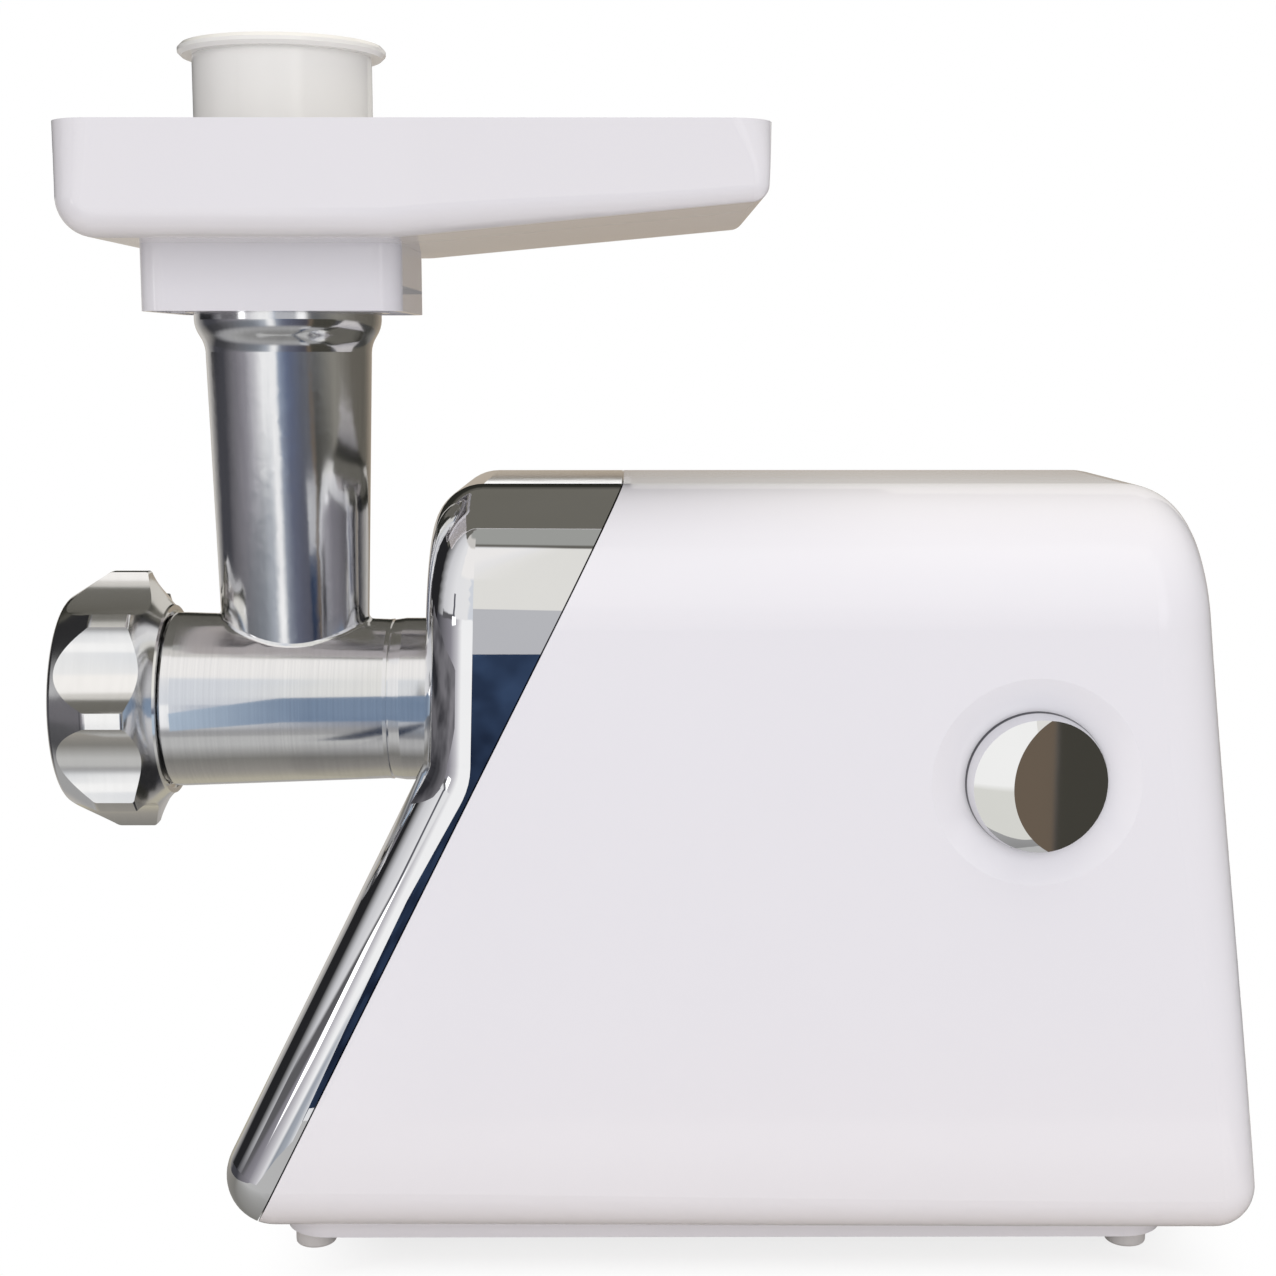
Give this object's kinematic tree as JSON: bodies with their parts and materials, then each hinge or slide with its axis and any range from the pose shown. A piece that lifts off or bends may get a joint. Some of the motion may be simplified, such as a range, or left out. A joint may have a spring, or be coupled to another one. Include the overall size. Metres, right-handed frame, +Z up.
{
  "type": "electric meat grinder",
  "caption": "Electric meat grinder with a plated front, a polished head with feed tube and fluted ring nut, a hopper tray, a pusher and a gear motor inside a white housing.",
  "frame": {"origin": "centre of the bounding box, on the table under the feet", "axes": "+X along the barrel from the ring nut to the back of the housing, +Z up, +Y away from the knob side"},
  "size_m": [0.3748, 0.1598, 0.374],
  "materials": {
    "white_plastic": "gloss",
    "pusher_plastic": "satin",
    "plated_plastic": "mirror",
    "polished_alloy": "polished",
    "cast_alloy": "cast",
    "hard_steel": "ground",
    "zinc_steel": "plated",
    "gear_nylon": "moulded",
    "bush_bronze": "sintered",
    "copper_wire": "varnished",
    "core_iron": "laminated",
    "carbon": "pressed",
    "switch_black": "moulded",
    "foot_rubber": "matt",
    "gland_rubber": "matt"
  },
  "bodies": {
    "base": {"housing": "white_plastic", "front_fascia": "plated_plastic", "base_plate": "white_plastic", "rubber_feet": "foot_rubber", "base_screws": "zinc_steel", "frame_screws": "zinc_steel", "cord_gland": "gland_rubber", "head_socket": "cast_alloy", "socket_screws": "zinc_steel", "gearbox_front": "cast_alloy", "gearbox_rear": "cast_alloy", "gearbox_screws": "zinc_steel", "output_bushes": "bush_bronze", "layshaft_bushes": "bush_bronze", "motor_bearings": "zinc_steel", "motor_stator": "core_iron", "field_windings": "copper_wire", "motor_end_bracket": "cast_alloy", "motor_tie_bolts": "zinc_steel", "brush_holders": "bush_bronze", "carbon_brushes": "carbon", "rotary_switch": "switch_black"},
    "head": {"grinder_head": "polished_alloy", "plate_key": "hard_steel"},
    "plate": {"cutting_plate": "hard_steel"},
    "nut": {"ring_nut": "polished_alloy"},
    "drive": {"output_shaft": "hard_steel", "output_gear": "gear_nylon", "auger": "cast_alloy", "thrust_washer": "gear_nylon", "knife": "hard_steel"},
    "lay": {"layshaft": "hard_steel", "layshaft_pinion": "hard_steel", "first_gear": "gear_nylon"},
    "rotor": {"motor_shaft": "hard_steel", "motor_pinion": "hard_steel", "armature_core": "core_iron", "armature_windings": "copper_wire", "commutator": "copper_wire", "cooling_fan": "gear_nylon"},
    "tray": {"tray": "white_plastic"},
    "pusher": {"pusher": "pusher_plastic"},
    "knob": {"switch_knob": "plated_plastic", "knob_spindle": "hard_steel"}
  },
  "joints": [
    {"name": "head_twist", "type": "hinge", "parent": "base", "child": "head", "pos_m": [-0.11391, 0.00392, 0.166], "axis": [1, 0, 0], "range_deg": [0, 45]},
    {"name": "tray_lift", "type": "slide", "parent": "head", "child": "tray", "axis": [0, 0, 1], "range_m": [0, 0.03]},
    {"name": "pusher_lift", "type": "slide", "parent": "tray", "child": "pusher", "axis": [0, 0, 1], "range_m": [0, 0.165]},
    {"name": "plate_slide", "type": "slide", "parent": "head", "child": "plate", "axis": [-1, 0, 0], "range_m": [0, 0.009]},
    {"name": "nut_unscrew", "type": "hinge", "parent": "plate", "child": "nut", "pos_m": [-0.11391, 0.00392, 0.166], "axis": [-1, 0, 0], "range_deg": [0, 1080]},
    {"name": "auger_spin", "type": "hinge", "parent": "base", "child": "drive", "pos_m": [-0.11391, 0.00392, 0.166], "axis": [1, 0, 0], "continuous": true},
    {"name": "layshaft_spin", "type": "hinge", "parent": "base", "child": "lay", "pos_m": [-0.11391, 0.00392, 0.1264], "axis": [1, 0, 0], "continuous": true},
    {"name": "rotor_spin", "type": "hinge", "parent": "base", "child": "rotor", "pos_m": [-0.11391, 0.00392, 0.0928], "axis": [1, 0, 0], "continuous": true},
    {"name": "knob_turn", "type": "hinge", "parent": "base", "child": "knob", "pos_m": [0.1151, 0.00392, 0.1538], "axis": [0, -1, 0], "range_deg": [-45, 45]}
  ],
  "couplings": [
    {"joint": "layshaft_spin", "follows": "rotor_spin", "ratio": -0.16667},
    {"joint": "auger_spin", "follows": "rotor_spin", "ratio": 0.033333},
    {"joint": "plate_slide", "follows": "nut_unscrew", "m_per_rad": 0.00047746}
  ]
}
